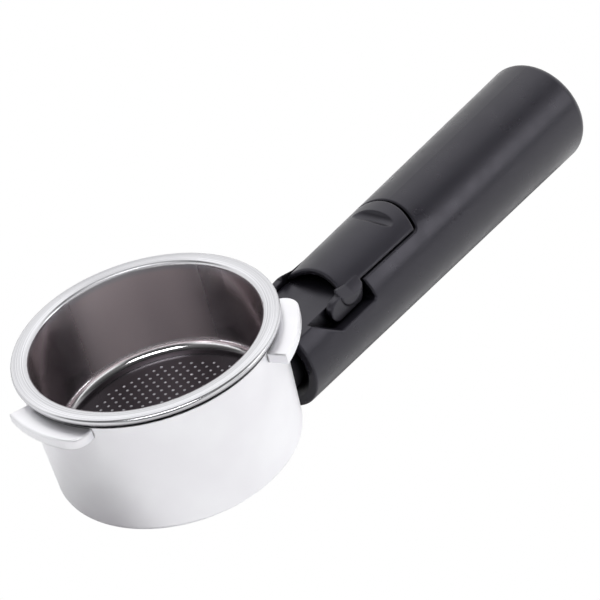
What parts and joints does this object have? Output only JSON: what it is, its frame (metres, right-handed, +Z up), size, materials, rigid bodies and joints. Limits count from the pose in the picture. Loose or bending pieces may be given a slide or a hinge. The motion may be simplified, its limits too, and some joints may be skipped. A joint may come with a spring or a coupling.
{
  "type": "espresso filter holder",
  "caption": "Espresso filter holder: cast cup with bayonet lugs, drop-in perforated basket, double spout, and a round black grip with a flip-over thumb flap that keeps the basket in.",
  "frame": {"origin": "on the cup's axis, at the seat that the underside of the basket's rim rests on", "axes": "+Z up along the cup's axis, +X along the handle towards its free end"},
  "size_m": [0.1814, 0.0637, 0.0473],
  "materials": {
    "cast_aluminium": "satin tumbled die casting",
    "pressed_steel": "deep-drawn stainless steel, turned rim",
    "grip_moulding": "black moulded thermoset, satin",
    "flap_moulding": "black moulded nylon, satin",
    "black_moulding": "black moulded nylon",
    "seal_rubber": "smooth silicone rubber",
    "plated_steel": "zinc-plated steel"
  },
  "bodies": {
    "holder": {"holder_cup": "cast_aluminium", "spout_body": "black_moulding", "spout_seal": "seal_rubber", "spout_screw": "plated_steel", "neck_collar": "black_moulding", "grip": "grip_moulding", "grip_bolt": "plated_steel", "flat_washer": "plated_steel", "spring_washer": "plated_steel", "end_plug": "grip_moulding", "hinge_pin": "plated_steel"},
    "basket": {"filter_basket": "pressed_steel"},
    "flap": {"thumb_flap": "flap_moulding"}
  },
  "joints": [
    {"name": "flap_flip", "type": "hinge", "parent": "holder", "child": "flap", "pos_m": [0.0486, 0, -0.0244], "axis": [0, 1, 0], "range_deg": [-115.5, 0]},
    {"name": "basket_lift", "type": "slide", "parent": "holder", "child": "basket", "axis": [0, 0, 1], "range_m": [0, 0.06]}
  ]
}
